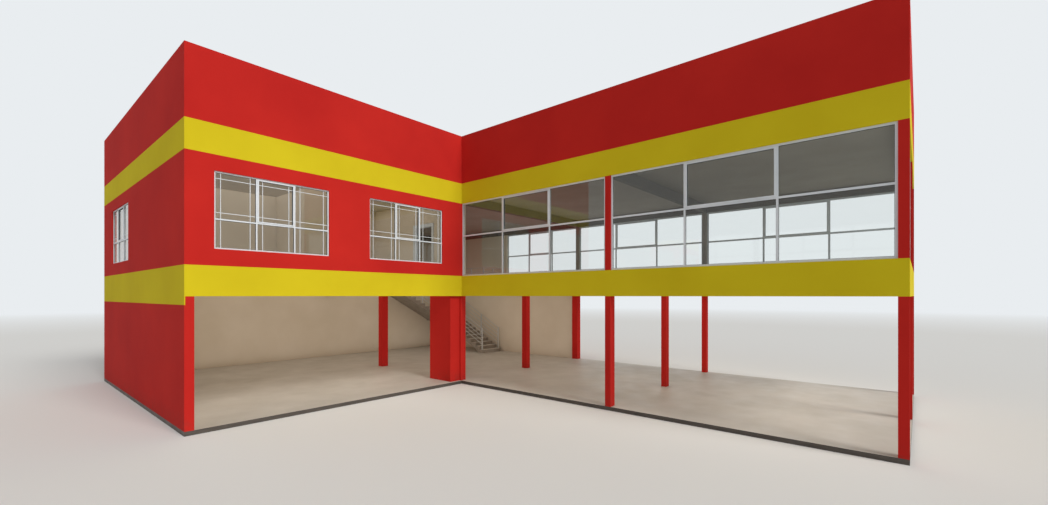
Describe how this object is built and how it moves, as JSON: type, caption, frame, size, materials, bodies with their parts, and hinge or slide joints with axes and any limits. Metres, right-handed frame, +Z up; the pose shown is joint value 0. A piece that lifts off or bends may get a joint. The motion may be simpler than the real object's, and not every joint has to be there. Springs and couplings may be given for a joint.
{
  "type": "fire station building",
  "caption": "L-plan fire station building in red and yellow masonry, with open vehicle bays below, a glazed hall and rooms above, and a concrete stair.",
  "frame": {"origin": "on the ground under the centre of the whole plan's box", "axes": "+X along the right wing's front towards its free end, +Y from the front to the back, +Z up"},
  "size_m": [23.86, 16.69, 9.29],
  "materials": {
    "red_wall": "matt masonry paint",
    "yellow_band": "matt masonry paint",
    "inner_plaster": "matt plaster",
    "concrete": "floated concrete",
    "window_frame": "white powder coat",
    "window_glass": "clear",
    "railing": "satin"
  },
  "bodies": {
    "root": {"ground_end_wall": "red_wall", "ground_left_wall": "red_wall", "ground_rear_wall": "red_wall", "corner_pier": "red_wall", "left_wing_columns": "red_wall", "front_columns": "red_wall", "middle_columns": "red_wall", "rear_columns": "red_wall", "upper_end_wall": "red_wall", "upper_front_wall": "red_wall", "upper_left_wall": "red_wall", "upper_rear_wall": "red_wall", "upper_front_posts": "red_wall", "upper_back_posts": "red_wall", "parapet_front_back": "red_wall", "parapet_sides": "red_wall", "lower_band_front_back": "yellow_band", "lower_band_sides": "yellow_band", "upper_band_front_back": "yellow_band", "upper_band_sides": "yellow_band", "rooms_floor": "inner_plaster", "stair_hall_floor": "inner_plaster", "hall_floor": "inner_plaster", "ceiling_beams": "inner_plaster", "left_wing_roof": "inner_plaster", "right_wing_roof": "inner_plaster", "corridor_partition": "inner_plaster", "rooms_partition": "inner_plaster", "hall_partition": "inner_plaster", "doorway_head": "inner_plaster", "left_wing_floor": "concrete", "right_wing_floor": "concrete", "lower_flight": "concrete", "stair_landing": "concrete", "upper_flight": "concrete", "front_window_frames": "window_frame", "end_window_frame": "window_frame", "front_glazing_frame": "window_frame", "end_glazing_frame": "window_frame", "rear_glazing_frame": "window_frame", "doorway_frame": "window_frame", "front_window_glass": "window_glass", "end_window_glass": "window_glass", "front_glazing_glass": "window_glass", "end_glazing_glass": "window_glass", "rear_glazing_glass": "window_glass", "lower_railing": "railing", "upper_railing": "railing", "stairwell_guard": "railing"}
  },
  "joints": []
}
